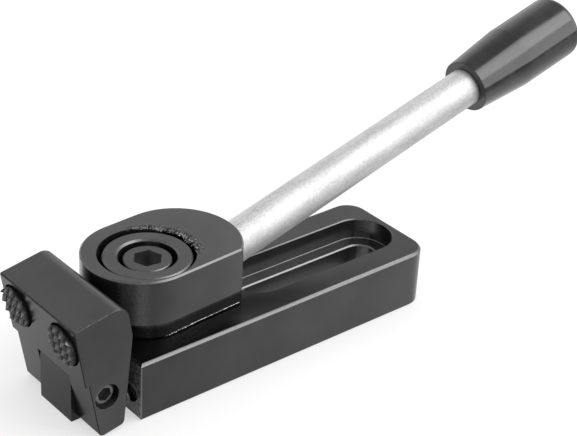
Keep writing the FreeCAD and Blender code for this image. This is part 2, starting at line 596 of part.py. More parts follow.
def make_grip_insert():
    # threaded steel insert moulded into the grip, two collars keep it from pulling out
    body = new_body("grip_insert")
    half = new_sketch(body, "InsertHalf", "XY_Plane")
    step = "$insert_length / 5"
    waist = "$insert_radius - $insert_collar"
    add_polygon(half, [
        ("0", "$stud_radius"), ("$insert_length", "$stud_radius"), ("$insert_length", "$insert_radius"),
        (f"4 * {step}", "$insert_radius"), (f"4 * {step}", waist), (f"3 * {step}", waist),
        (f"3 * {step}", "$insert_radius"), (f"2 * {step}", "$insert_radius"), (f"2 * {step}", waist),
        (step, waist), (step, "$insert_radius"), ("0", "$insert_radius")])
    add_revolution(body, "Insert", half)
    place_on_rod(body, "$rod_length")
    return body


def make_handle_grip():
    # moulded grip: cone from the neck to the crease, then an almost straight barrel
    body = new_body("handle_grip")
    half = new_sketch(body, "GripHalf", "XY_Plane")
    step = "$insert_length / 5"
    waist = "$insert_radius - $insert_collar"
    add_polygon(half, [
        ("0", "$insert_radius"), ("0", "$grip_neck_radius"), ("$grip_crease", "$grip_crease_radius"),
        ("$grip_length", "$grip_end_radius"), ("$grip_length", "0"), ("$insert_length", "0"),
        ("$insert_length", "$insert_radius"), (f"4 * {step}", "$insert_radius"), (f"4 * {step}", waist),
        (f"3 * {step}", waist), (f"3 * {step}", "$insert_radius"), (f"2 * {step}", "$insert_radius"),
        (f"2 * {step}", waist), (step, waist), (step, "$insert_radius")])
    add_revolution(body, "Grip", half)
    end = number("$grip_length")
    dress_edges(body, "Fillet", "EndRound", "$grip_end_fillet",
                lambda e: lies_flat(e, "x", end) and len(e.Vertexes) == 1)
    dress_edges(body, "Fillet", "NeckRound", "$grip_neck_fillet",
                lambda e: lies_flat(e, "x", 0) and e.BoundBox.YMax > number("$grip_neck_radius") - 0.01)
    place_on_rod(body, "$rod_length")
    return body


def make_all():
    pieces = [make_base_body(), make_jaw()]
    for label, sign, turn in (("grip_pad_near", "-", "$pad_turn_near"), ("grip_pad_far", "", "$pad_turn_far")):
        pad = make_grip_pad(label, sign, turn)
        place_on_jaw(pad, "-$grip_face_reach", f"{sign}$pad_spread", "$pad_height", turn)
        pieces.append(pad)
    pieces.append(make_pivot_pin())
    pieces.append(make_plug_screw("plug_screw_near", "-"))
    pieces.append(make_plug_screw("plug_screw_far", ""))
    pieces.append(make_return_spring("return_spring_near", "-"))
    pieces.append(make_return_spring("return_spring_far", ""))
    pieces += [make_cam_head(), make_pivot_bush(), make_cam_screw()]
    pieces += [make_lever_rod(), make_grip_insert(), make_handle_grip()]
    return pieces


pieces = make_all()
doc.recompute()
for item in doc.Objects:
    if "Invalid" in item.State or "Error" in item.State:
        raise RuntimeError(f"{item.Label} failed: {item.State}")
for piece in pieces:
    if piece.Shape.isNull() or not piece.Shape.isValid():
        raise RuntimeError(f"{piece.Label} has no valid shape")

os.makedirs("parts", exist_ok=True)
print(f"pin_setback {sheet.get('pin_setback')}, spring_rear {sheet.get('spring_rear')}")
for piece in pieces:
    piece.Shape.exportStep(f"parts/{piece.Label}.step")
    box = piece.Shape.BoundBox
    print(f"{piece.Label}: {len(piece.Shape.Solids)} solid, {piece.Shape.Volume:.1f} mm3,"
          f" X {box.XMin:.1f}..{box.XMax:.1f} Y {box.YMin:.1f}..{box.YMax:.1f} Z {box.ZMin:.1f}..{box.ZMax:.1f}")
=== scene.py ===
import json
import math

import bmesh
import bpy
import numpy as np
from mathutils import Euler, Matrix, Vector


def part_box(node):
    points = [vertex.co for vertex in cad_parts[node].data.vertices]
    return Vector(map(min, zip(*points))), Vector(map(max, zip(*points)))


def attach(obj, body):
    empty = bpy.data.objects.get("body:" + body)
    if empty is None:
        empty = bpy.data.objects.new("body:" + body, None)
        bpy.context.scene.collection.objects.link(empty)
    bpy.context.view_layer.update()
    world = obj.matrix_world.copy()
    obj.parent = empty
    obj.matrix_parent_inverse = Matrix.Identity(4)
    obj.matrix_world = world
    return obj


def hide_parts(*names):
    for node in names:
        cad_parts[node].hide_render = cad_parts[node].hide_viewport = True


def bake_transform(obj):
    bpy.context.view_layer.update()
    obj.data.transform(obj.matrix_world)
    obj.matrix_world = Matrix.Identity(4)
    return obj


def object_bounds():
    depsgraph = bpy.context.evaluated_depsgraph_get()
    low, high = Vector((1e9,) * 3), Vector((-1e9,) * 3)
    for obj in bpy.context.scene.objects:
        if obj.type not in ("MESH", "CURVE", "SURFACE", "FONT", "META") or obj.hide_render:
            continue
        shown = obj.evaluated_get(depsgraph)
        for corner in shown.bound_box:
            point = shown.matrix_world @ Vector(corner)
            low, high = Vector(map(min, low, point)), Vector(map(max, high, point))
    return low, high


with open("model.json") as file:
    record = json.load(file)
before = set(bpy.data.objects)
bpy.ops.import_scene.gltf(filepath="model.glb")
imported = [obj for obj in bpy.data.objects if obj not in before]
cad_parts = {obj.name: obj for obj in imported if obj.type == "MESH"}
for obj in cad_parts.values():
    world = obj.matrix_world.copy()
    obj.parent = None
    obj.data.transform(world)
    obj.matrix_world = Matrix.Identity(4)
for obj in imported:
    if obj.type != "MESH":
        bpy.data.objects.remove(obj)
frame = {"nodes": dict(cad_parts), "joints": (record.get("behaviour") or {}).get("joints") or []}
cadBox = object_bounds()
nodes = frame["nodes"]
joints = {joint["name"]: joint for joint in frame["joints"]}
mm = 0.001

jawPivot = Vector(joints["jaw_tilt"]["pos_m"])
leverPivot = Vector(joints["cam_swing"]["pos_m"])
pivotX, deckTop = leverPivot.x / mm, leverPivot.z / mm

# how far the jaw leans, the lever is turned and its rod rises at rest
jawTilt = math.radians(10.2)
leverTurn = math.radians(3.5)
rodRise = math.radians(12.65)

# the turns that lay each tilted piece square to the row frame again
jawTurns = [(jawPivot, (0, 1, 0), jawTilt)]
leverTurns = [(leverPivot, (0, 0, 1), -leverTurn)]
rodTurns = leverTurns + [(leverPivot, (0, 1, 0), rodRise)]


class Value:
    # a shader socket that can be used in sums
    def __init__(self, shading, socket):
        self.shading, self.socket = shading, socket

    def maths(self, operation, *others):
        inputs = dict(enumerate((self, *others)))
        return self.shading.node("Math", inputs, operation=operation)

    def __add__(self, other):
        return self.maths("ADD", other)

    def __mul__(self, other):
        return self.maths("MULTIPLY", other)

    __radd__, __rmul__ = __add__, __mul__

    def __sub__(self, other):
        return self.maths("SUBTRACT", other)

    def __rsub__(self, other):
        return self.shading.node("Math", {0: other, 1: self}, operation="SUBTRACT")

    def size(self):
        return self.maths("ABSOLUTE")

    def power(self, exponent):
        return self.maths("POWER", exponent)

    def least(self, other):
        return self.maths("MINIMUM", other)

    def most(self, other):
        return self.maths("MAXIMUM", other)

    def ramp(self, low, high, start=0.0, end=1.0):
        # goes smoothly from start to end while the value goes from low to high
        inputs = {0: self, 1: low, 2: high, 3: start, 4: end}
        return self.shading.node("MapRange", inputs, interpolation_type="SMOOTHSTEP")

    def axes(self):
        parts = self.shading.node("SeparateXYZ", {0: self}).socket.node
        return [Value(self.shading, output) for output in parts.outputs]


class Shading:
    # the nodes of a material or of the sky
    def __init__(self, tree):
        self.tree = tree

    def node(self, kind, inputs=None, output=0, **settings):
        made = self.tree.nodes.new("ShaderNode" + kind)
        for key, value in settings.items():
            setattr(made, key, value)
        for key, value in (inputs or {}).items():
            if isinstance(value, Value):
                self.tree.links.new(value.socket, made.inputs[key])
            else:
                made.inputs[key].default_value = value
        return Value(self, made.outputs[output])


class Finish(Shading):
    # a material and the patterns that feed it
    def __init__(self, name, **constants):
        self.material = bpy.data.materials.new(name)
        self.material.use_nodes = True
        super().__init__(self.material.node_tree)
        self.shader = self.tree.nodes["Principled BSDF"]
        for socket, value in constants.items():
            self.shader.inputs[socket.replace("_", " ")].default_value = value

    def place(self, turns=()):
        # the point in millimetres, turned so that a pattern follows a tilted piece
        spot = self.scaled(self.node("TexCoord", output="Object"), 1 / mm)
        for centre, axis, angle in turns:
            inputs = {"Vector": spot, "Center": centre / mm, "Axis": axis, "Angle": angle}
            spot = self.node("VectorRotate", inputs)
        return spot

    def facing(self, turns=()):
        # which way the face looks along each of the three axes, after the same turns
        way = self.node("TexCoord", output="Normal")
        for _, axis, angle in turns:
            way = self.node("VectorRotate", {"Vector": way, "Axis": axis, "Angle": angle})
        return way.axes()

    def scaled(self, vector, scale):
        # a place or a colour times one number
        return self.node("VectorMath", {0: vector, 3: scale}, operation="SCALE")

    def stretched(self, spot, scales):
        return self.node("VectorMath", {0: spot, 1: scales}, operation="MULTIPLY")

    def noise(self, spot, scale, detail, roughness, distortion=0.0):
        inputs = {"Vector": spot, "Scale": scale, "Detail": detail, "Roughness": roughness,
                  "Distortion": distortion}
        return self.node("TexNoise", inputs, output="Fac")

    def colour(self, amount, first, second):
        # goes from the first colour to the second while the amount goes from 0 to 1
        ends = [end if isinstance(end, Value) else (*end, 1.0) for end in (first, second)]
        return self.node("Mix", {0: amount, 6: ends[0], 7: ends[1]}, output=2, data_type="RGBA")

    def bump(self, height, distance, strength, under=None):
        inputs = {"Height": height, "Distance": distance * mm, "Strength": strength}
        if under is not None:
            inputs["Normal"] = under
        return self.node("Bump", inputs, output="Normal")

    def feed(self, **values):
        for socket, value in values.items():
            self.tree.links.new(value.socket, self.shader.inputs[socket.replace("_", " ")])
        return self.material


def dress(node, material):
    for slot in nodes[node].material_slots:
        slot.material = material


def reachFrom(spot, along, across):
    # distance from an upright line, in millimetres
    x, y, _ = spot.axes()
    return ((x - along).power(2.0) + (y - across).power(2.0)).power(0.5)


# a noise is its scale, detail, roughness and sometimes distortion; a ramp is where it starts and stops,
# and its two ends where they aren't 0 and 1; a bump is its height in millimetres and its strength
blackSteel = {
    "dark": (0.084, 0.082, 0.083), "light": (0.106, 0.103, 0.104), "edge": (0.17, 0.17, 0.17),
    "metal": 0.93, "ior": 1.45, "roughness": 0.25,
    "cloud": (0.035, 4.0, 0.6), "fine": (1.1, 4.0, 0.65), "rub": (1.6, 4.0, 0.7),
    "cloudCut": (0.3, 0.7), "rubCut": (0.38, 0.62, 0.25, 1.0), "bump": (0.01, 0.06),
    "cloudRough": 0.10, "fineRough": 0.04, "wornRough": 0.2, "leaning": (0.90, 0.80), "square": (0.86, 0.93),
}


def edgeMask(finish, turns):
    # one on chamfers and rounded edges, which lean about halfway between two of the piece's axes
    x, y, z = [part.size() for part in finish.facing(turns)]
    nearest = x.most(y).most(z)
    return nearest.ramp(*blackSteel["leaning"]) * (1.0 - nearest.ramp(*blackSteel["square"]))


def steelFinish(name, turns=(), shade=1.0, rim=1.0, marksAndShade=None):
    # black oxide, cloudy and finely mottled, with rubbed edges and the piece's own marks and painted light
    # and shade
    finish = Finish(name, Metallic=blackSteel["metal"], IOR=blackSteel["ior"])
    spot = finish.place(turns)
    cloud, fine, rub = [finish.noise(spot, *blackSteel[part]) for part in ("cloud", "fine", "rub")]
    worn = edgeMask(finish, turns) * rub.ramp(*blackSteel["rubCut"])
    dark, light = [[shade * part for part in blackSteel[tone]] for tone in ("dark", "light")]
    tone = finish.colour(cloud.ramp(*blackSteel["cloudCut"]), dark, light)
    look = {
        "Base_Color": finish.colour(worn, tone, [rim * part for part in blackSteel["edge"]]),
        "Roughness": ((cloud - 0.5) * blackSteel["cloudRough"] + (fine - 0.5) * blackSteel["fineRough"]
                      + worn * blackSteel["wornRough"] + blackSteel["roughness"]),
        "Normal": finish.bump(fine, *blackSteel["bump"]),
    }
    if marksAndShade is not None:
        marksAndShade(finish, spot, look)
    return finish.feed(**look)


# places are ramps in millimetres; ringTop, deck and slotDepth are heights from the deck, and the front's way
# is how squarely a face looks forward
baseLook = {
    "ringInside": (13.5, 15.0), "ringOutside": (25.0, 20.0), "ringFront": (8.0, 14.0),
    "ringTop": (-0.3, -0.1), "ringTone": 0.25, "ringRough": 0.1,
    "scratch": (1.4, 3.0, 0.7), "scratchStretch": (0.25, 3.0, 1.0), "scratchCut": (0.60, 0.66),
    "scratchBump": (0.03, 0.5),
    "deck": (-0.4, -0.1), "deckPaintedShade": (62.0, 96.0, -0.48, 0.0), "tongue": (-0.4, -1.2), "tonguePaintedShade": 0.2,
    "slotFront": (55.0, 56.0), "slotSide": (13.2, 12.8), "slotDepth": (-0.25, -0.55), "slotPaintedLight": 0.4,
    "sawnLitWay": (-0.8, -0.97), "sawnLitRear": (3.0, 1.0), "sawnLitEnd": (-1.0, -0.5),
    "saw": (1.1, 4.0, 0.75), "sawStretch": (1.0, 1.6, 0.5), "sawCut": (0.4, 0.62),
    "sawnLitDark": 0.018, "sawnLitBright": 0.15, "sawnLitMetal": 0.85,
    "cornerRear": (0.45, 0.25), "cornerSide": (-23.5, -23.75), "cornerFoot": (0.8, 1.4), "cornerTone": 0.55,
    "bare": (0.35, 0.35, 0.35),
}


def markAndShadeBase(finish, spot, look):
    x, y, z = spot.axes()
    lift = z - deckTop
    # painted shade and light: the deck is darker from the front to beside the slot, the slot's inside
    # lighter, the tongue darker
    slot = (x.ramp(*baseLook["slotFront"]) * y.size().ramp(*baseLook["slotSide"])
            * lift.ramp(*baseLook["slotDepth"]))
    deck = lift.ramp(*baseLook["deck"]) * x.ramp(*baseLook["deckPaintedShade"])
    tongue = 1.0 - x.ramp(*baseLook["tongue"]) * baseLook["tonguePaintedShade"]
    shade = (1.0 + deck + slot * baseLook["slotPaintedLight"]) * tongue
    tone = finish.scaled(look["Base_Color"], shade)
    # painted light: the block's front, in the shaded gap behind the jaw, is lighter; it is taken for a sawn
    # face, duller than the rest
    sawnLitFront = (finish.facing()[0].ramp(*baseLook["sawnLitWay"]) * x.ramp(*baseLook["sawnLitRear"])
            * x.ramp(*baseLook["sawnLitEnd"]))
    saw = finish.noise(finish.stretched(spot, baseLook["sawStretch"]), *baseLook["saw"])
    dark, light = 3 * [baseLook["sawnLitDark"]], 3 * [baseLook["sawnLitBright"]]
    tone = finish.colour(sawnLitFront, tone, finish.colour(saw.ramp(*baseLook["sawCut"]), dark, light))
    # fine marks that the turning head has left round the boss, and one upright corner of the block painted
    # as a light grey line
    reach = reachFrom(spot, pivotX, 0.0)
    ring = (reach.ramp(*baseLook["ringInside"]) * reach.ramp(*baseLook["ringOutside"])
            * lift.ramp(*baseLook["ringTop"]) * x.ramp(*baseLook["ringFront"]))
    scratch = finish.noise(finish.stretched(spot, baseLook["scratchStretch"]), *baseLook["scratch"])
    mark = ring * scratch.ramp(*baseLook["scratchCut"])
    corner = (x.ramp(*baseLook["cornerRear"]) * y.ramp(*baseLook["cornerSide"])
              * z.ramp(*baseLook["cornerFoot"]))
    bare = (mark * baseLook["ringTone"]).most(corner * baseLook["cornerTone"])
    look["Base_Color"] = finish.colour(bare, tone, baseLook["bare"])
    look["Roughness"] = look["Roughness"] + mark * baseLook["ringRough"]
    look["Normal"] = finish.bump(mark, *baseLook["scratchBump"], look["Normal"])
    look["Metallic"] = blackSteel["metal"] - sawnLitFront * baseLook["sawnLitMetal"]


# the centre of the recess lies ahead of the pivot and towards the far side
recess = {"lead": 0.4, "shift": 0.9, "radius": 18.2}

# the torn arc of the rim in radians about the recess, the other places in millimetres
headLook = {
    "arcStart": (-0.5, -0.2), "arcEnd": (1.45, 1.2), "rimOutside": (21.0, 18.8), "rimTop": (50.0, 50.6),
    "tear": (0.9, 5.0, 0.75, 1.2), "tearCut": (0.47, 0.62), "tearBump": (0.25, 0.8),
    "torn": (0.012, 0.012, 0.012), "tornTone": 0.85, "tornRough": 0.35, "bossPaintedShade": (28.6, 29.4, 0.45, 1.0),
}


def markAndShadeHead(finish, spot, look):
    # torn, scuffed metal along the far rim of the recess, and the boss below the plate darker: painted shade
    x, y, z = spot.axes()
    along, across = pivotX + recess["lead"], recess["shift"]
    side = (y - across).maths("ARCTAN2", x - along)
    band = (reachFrom(spot, along, across).ramp(*headLook["rimOutside"]) * z.ramp(*headLook["rimTop"])
            * side.ramp(*headLook["arcStart"]) * side.ramp(*headLook["arcEnd"]))
    mark = band * finish.noise(spot, *headLook["tear"]).ramp(*headLook["tearCut"])
    tone = finish.scaled(look["Base_Color"], z.ramp(*headLook["bossPaintedShade"]))
    look["Base_Color"] = finish.colour(mark * headLook["tornTone"], tone, headLook["torn"])
    look["Roughness"] = look["Roughness"] + mark * headLook["tornRough"]
    look["Normal"] = finish.bump(mark, *headLook["tearBump"], look["Normal"])


# how squarely a face looks up, forward or to the near side, and how much painted light and shade change its
# tone
jawLook = {
    "upward": (0.8, 0.97), "top": 0.2, "forward": (-0.6, -0.9), "front": 0.4,
    "nearward": (-0.8, -0.97), "near": 0.28,
}


def paintJawShade(finish, spot, look):
    # painted light and shade: top and near side lighter, front darker
    x, y, z = finish.facing(jawTurns)
    lighter = z.ramp(*jawLook["upward"]) * jawLook["top"] + y.ramp(*jawLook["nearward"]) * jawLook["near"]
    shade = 1.0 + lighter - x.ramp(*jawLook["forward"]) * jawLook["front"]
    look["Base_Color"] = finish.scaled(look["Base_Color"], shade)


# how near to the pivot in millimetres, and how little a face looks up or down
socketLook = {"reach": (5.95, 5.8), "upright": (0.6, 0.3), "light": 1.8}


def paintSocketLight(finish, spot, look):
    # the walls of the hexagon are lighter than the head, as light is caught inside it
    wall = finish.facing()[2].size().ramp(*socketLook["upright"])
    inside = reachFrom(spot, pivotX, 0.0).ramp(*socketLook["reach"]) * wall
    look["Base_Color"] = finish.scaled(look["Base_Color"], 1.0 + inside * socketLook["light"])


# painted light and shade: shade makes each piece's copy of the black steel lighter or darker, and rim its
# edges; the jaw's edges are painted darker
dress("base_body", steelFinish("blackSteelBase", shade=0.85, marksAndShade=markAndShadeBase))
dress("cam_head", steelFinish("blackSteelHead", leverTurns, shade=1.15, marksAndShade=markAndShadeHead))
dress("jaw", steelFinish("blackSteelJaw", jawTurns, shade=0.95, rim=0.14, marksAndShade=paintJawShade))
dress("pivot_bush", steelFinish("blackSteelBush", shade=1.1))
dress("cam_screw", steelFinish("blackSteelScrew", shade=1.05, marksAndShade=paintSocketLight))
# painted highlights: the plug screws, and most of all their edges, are much lighter
plugSteel = steelFinish("blackSteelPlug", jawTurns, shade=2.2, rim=3.0)
for screw in ("plug_screw_near", "plug_screw_far"):
    dress(screw, plugSteel)
print("black steel dressed")


padLook = {
    "pit": (0.028, 0.028, 0.03), "tip": (0.24, 0.24, 0.24), "depth": (-8.3, -9.9),
    "grain": (1.8, 4.0, 0.65), "grainCut": (0.3, 0.6), "rough": 0.22, "grainRough": 0.2, "bump": (0.08, 0.5),
}


def padFinish():
    # rougher steel, with the points of the teeth rubbed lighter
    finish = Finish("toothedSteel", Metallic=blackSteel["metal"], IOR=blackSteel["ior"])
    spot = finish.place(jawTurns)
    high = (spot.axes()[0] - jawPivot.x / mm).ramp(*padLook["depth"])
    grain = finish.noise(spot, *padLook["grain"])
    tone = finish.colour(high * grain.ramp(*padLook["grainCut"]), padLook["pit"], padLook["tip"])
    rough = grain * padLook["grainRough"] + padLook["rough"]
    return finish.feed(Base_Color=tone, Roughness=rough, Normal=finish.bump(grain, *padLook["bump"]))


padSteel = padFinish()
for pad in ("grip_pad_near", "grip_pad_far"):
    dress(pad, padSteel)


rodLook = {"tone": (0.93, 0.93, 0.93), "roughness": 0.62, "grain": 2.2, "underShade": 0.35}
pinLook = {"tone": (0.6, 0.6, 0.6), "roughness": 0.3}
insertLook = {"tone": (0.6, 0.6, 0.6), "roughness": 0.35}
wireLook = {"tone": (0.10, 0.10, 0.102), "roughness": 0.42, "metal": 0.35}

drawnSteel = {
    "fleck": (0.9, 5.0, 0.75), "fleckStretch": (0.9, 1.6, 1.6), "fleckCut": (0.36, 0.64, 0.0, 0.6),
    "cloud": (1.0, 3.0, 0.5), "cloudStretch": (0.06, 0.25, 0.25), "cloudCut": (0.3, 0.7, 0.0, 0.4),
    "contrast": 0.14, "fleckRough": 0.12, "bumpHeight": 0.03, "bumpStrength": 0.35,
}

# painted shade on the low side: how far a face that looks across or up counts as the low side, and its
# mottled edge
lowSide = {
    "across": -0.70, "up": -0.25, "edge": (-0.05, 0.65),
    "mottle": (0.8, 4.0, 0.75), "wander": (0.35, 0.65, 0.06, -0.04),
}


def brightFinish(name, turns, tone, roughness, grain=1.0, underShade=0.0, metal=1.0):
    # drawn steel with a fine satin grain along its length, with painted shade where its low side faces the
    # floor
    finish = Finish(name, Metallic=metal)
    spot = finish.place(turns)
    fleck = finish.noise(finish.stretched(spot, drawnSteel["fleckStretch"]), *drawnSteel["fleck"])
    cloud = finish.noise(finish.stretched(spot, drawnSteel["cloudStretch"]), *drawnSteel["cloud"])
    shade = fleck.ramp(*drawnSteel["fleckCut"]) + cloud.ramp(*drawnSteel["cloudCut"])
    darker = [(1.0 - drawnSteel["contrast"] * grain) * part for part in tone]
    colour = finish.colour(shade, darker, tone)
    if underShade:
        _, across, up = finish.facing(turns)
        mottle = finish.noise(spot, *lowSide["mottle"]).ramp(*lowSide["wander"])
        low = (across * lowSide["across"] + up * lowSide["up"] + mottle).ramp(*lowSide["edge"])
        colour = finish.scaled(colour, 1.0 - low * underShade)
    rough = (fleck - 0.5) * drawnSteel["fleckRough"] + roughness
    relief = finish.bump(fleck, drawnSteel["bumpHeight"], drawnSteel["bumpStrength"] * grain)
    return finish.feed(Base_Color=colour, Roughness=rough, Normal=relief)


dress("lever_rod", brightFinish("satinRod", rodTurns, **rodLook))
dress("pivot_pin", brightFinish("groundPin", jawTurns, **pinLook))
dress("grip_insert", brightFinish("turnedInsert", rodTurns, **insertLook))
springWire = brightFinish("springWire", (), **wireLook)


def addObject(name, data):
    made = bpy.data.objects.new(name, data)
    bpy.context.scene.collection.objects.link(made)
    return made


# wire in millimetres, closed turns at each end and their advance in wires, then sides and steps a turn
coilLook = {"wire": 1.4, "turns": 4.4, "closed": 0.9, "closedPitch": 1.1, "sides": 14, "steps": 36}


def coilRing(turn, low, high):
    # the points round the wire after so many turns from the front end
    wire = coilLook["wire"] * mm
    shut, total = coilLook["closed"], coilLook["turns"]
    advance = coilLook["closedPitch"] * wire
    run = high.x - low.x - wire - 2 * advance
    opened = min(max((turn - shut) / (total - 2 * shut), 0.0), 1.0)
    ends = min(turn, shut) / shut + max(turn - total + shut, 0.0) / shut
    angle = 2 * math.pi * turn
    out = Vector((0, math.cos(angle), math.sin(angle)))
    centre = (low + high) / 2 + out * (high.y - low.y - wire) / 2
    centre.x = low.x + wire / 2 + opened * run + ends * advance
    ways = [2 * math.pi * side / coilLook["sides"] for side in range(coilLook["sides"])]
    return [centre + wire / 2 * (math.cos(way) * out + Vector((math.sin(way), 0, 0))) for way in ways]


def makeReturnSpring(node):
    # round wire wound with closed ends
    low, high = [Vector(corner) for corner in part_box(node)]
    count = round(coilLook["turns"] * coilLook["steps"])
    bm, rings = bmesh.new(), []
    for step in range(count + 1):
        ring = coilRing(coilLook["turns"] * step / count, low, high)
        rings.append([bm.verts.new(point) for point in ring])
    for before, after in zip(rings, rings[1:]):
        for side in range(coilLook["sides"]):
            bm.faces.new((before[side - 1], before[side], after[side], after[side - 1])).smooth = True
    bm.faces.new(rings[0])
    bm.faces.new(rings[-1][::-1])
    bmesh.ops.recalc_face_normals(bm, faces=bm.faces)
    mesh = bpy.data.meshes.new(node + "_coil")
    bm.to_mesh(mesh)
    bm.free()
    mesh.materials.append(springWire)
    coil = addObject(node + "_coil", mesh)
    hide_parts(node)
    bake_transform(coil)


for spring in ("return_spring_near", "return_spring_far"):
    makeReturnSpring(spring)
print("bright steel dressed")


gripLook = {
    "tone": (0.010, 0.010, 0.011), "worn": (0.020, 0.020, 0.021), "wornCut": (0.35, 0.7),
    "ior": 1.55, "coat": 0.3, "coatRough": 0.05, "coatIor": 1.5,
    "cloud": (0.12, 4.0, 0.6), "fine": (1.2, 4.0, 0.7), "rough": (0.3, 0.7, 0.12, 0.18), "fineRough": 0.05,
    "ripple": 0.8, "grain": 0.2, "bump": (0.05, 0.15),
}


def gripFinish():
    # glossy moulded black with faint ripples and rubbed patches
    finish = Finish("glossGrip", IOR=gripLook["ior"], Coat_Weight=gripLook["coat"],
                    Coat_Roughness=gripLook["coatRough"], Coat_IOR=gripLook["coatIor"])
    spot = finish.place(rodTurns)
    cloud, fine = finish.noise(spot, *gripLook["cloud"]), finish.noise(spot, *gripLook["fine"])
    tone = finish.colour(cloud.ramp(*gripLook["wornCut"]), gripLook["tone"], gripLook["worn"])
    rough = cloud.ramp(*gripLook["rough"]) + fine * gripLook["fineRough"]
    relief = finish.bump(cloud * gripLook["ripple"] + fine * gripLook["grain"], *gripLook["bump"])
    return finish.feed(Base_Color=tone, Roughness=rough, Normal=relief)


dress("handle_grip", gripFinish())
print("grip dressed")


def onHead(reach, side, height):
    # a point of the head in the row frame, from its polar place about the pivot in millimetres
    way = side + leverTurn
    return (leverPivot.x + reach * math.cos(way) * mm, reach * math.sin(way) * mm, height * mm)


def meshOf(name, points, faces, material=None):
    mesh = bpy.data.meshes.new(name)
    mesh.from_pydata(points, [], faces)
    if material is not None:
        mesh.materials.append(material)
    return mesh


def rideHead(piece):
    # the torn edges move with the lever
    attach(piece, "lever")


def rimEdge(side):
    # distance from the pivot to the rim of the eccentric recess
    lead, shift, radius = recess["lead"], recess["shift"], recess["radius"]
    along = lead * math.cos(side) + shift * math.sin(side)
    return along + math.sqrt(along ** 2 + radius ** 2 - lead ** 2 - shift ** 2)


# angles in degrees, lengths in millimetres; rows run from the plate round the rim to the tips of the
# tongues, and splits and holes are the chances that a step or one of its faces is left open
rimTear = {
    "start": -34.0, "end": 68.0, "steps": 190, "top": 51.2, "lip": 1.25, "seed": 5, "thinning": 0.35,
    "usual": 0.9, "shortest": 0.15, "swing": 1.2, "swingSteps": 9, "ragged": 0.35,
    "rows": (0.0, 0.05, 0.5, 1.0), "lifts": (0.02, 0.12, 0.10, -0.06), "lowest": -0.1,
    "liftScatter": 0.07, "sideScatter": 0.004, "root": 0.4, "rootScatter": 0.5,
    "splits": 0.12, "holes": (0.0, 0.08, 0.30),
}


def makeTornLip():
    # ragged tongues of metal dragged over the recess rim towards the bush
    rng = np.random.default_rng(rimTear["seed"])
    steps, span, rows = rimTear["steps"], rimTear["swingSteps"], len(rimTear["rows"])
    sides = np.radians(np.linspace(rimTear["start"], rimTear["end"], steps))
    fade = np.sin(np.linspace(0, math.pi, steps)) ** rimTear["thinning"]
    swing = np.convolve(rng.normal(0, 1, steps + span - 1), np.ones(span) / span, "valid") * rimTear["swing"]
    points, faces = [], []
    for step, side in enumerate(sides):
        length = rimTear["lip"] * (rimTear["usual"] + swing[step] + rng.normal(0, rimTear["ragged"]))
        reach = fade[step] * max(rimTear["shortest"], length)
        rim = rimEdge(side)
        for row, part in enumerate(rimTear["rows"]):
            lift = rimTear["lifts"][row] + (rng.normal(0, rimTear["liftScatter"]) if row else 0.0)
            way = side + rng.normal(0, rimTear["sideScatter"])
            root = rimTear["root"] + rng.uniform(0, rimTear["rootScatter"]) if row == 0 else 0.0
            height = rimTear["top"] + max(lift, rimTear["lowest"])
            points.append(onHead(rim + root - part * reach, way, height))
        if step and rng.random() > rimTear["splits"]:
            for row, hole in enumerate(rimTear["holes"]):
                now = rows * step + row
                if rng.random() > hole:
                    faces.append((now - rows, now - rows + 1, now + 1, now))
    return points, faces


tornLook = {"patches": (0.9, 3.0, 0.7), "patchCut": (0.42, 0.6), "roughness": 0.32}


def tornFinish(name, dark, light):
    # freshly torn metal, light and dark in turn
    finish = Finish(name, Metallic=blackSteel["metal"], Roughness=tornLook["roughness"])
    patches = finish.noise(finish.place(leverTurns), *tornLook["patches"]).ramp(*tornLook["patchCut"])
    return finish.feed(Base_Color=finish.colour(patches, 3 * [dark], 3 * [light]))


tornSteel = tornFinish("tornSteel", dark=0.02, light=0.42)
# painted highlight: light steel for the bead along the foot of the boss
beadHighlightSteel = tornFinish("beadHighlightSteel", dark=0.10, light=0.42)
# painted glints: the flakes along the foot of the boss are near white, for sparkles
paintedGlintSteel = tornFinish("paintedGlintSteel", dark=0.5, light=0.9)
rideHead(addObject("tornLip", meshOf("tornLip", *makeTornLip(), tornSteel)))

# one flake in millimetres, then the least and most of its scale, and of its tilt and spin in radians
flakes = {
    "corners": 4, "radius": 1.0, "height": 1.6, "least": (0.08, 0.06, 0.06), "most": (0.5, 0.2, 0.24),
    "leastTurn": (-0.5, -0.5, 0.0), "mostTurn": (0.5, 0.5, 6.28),
}


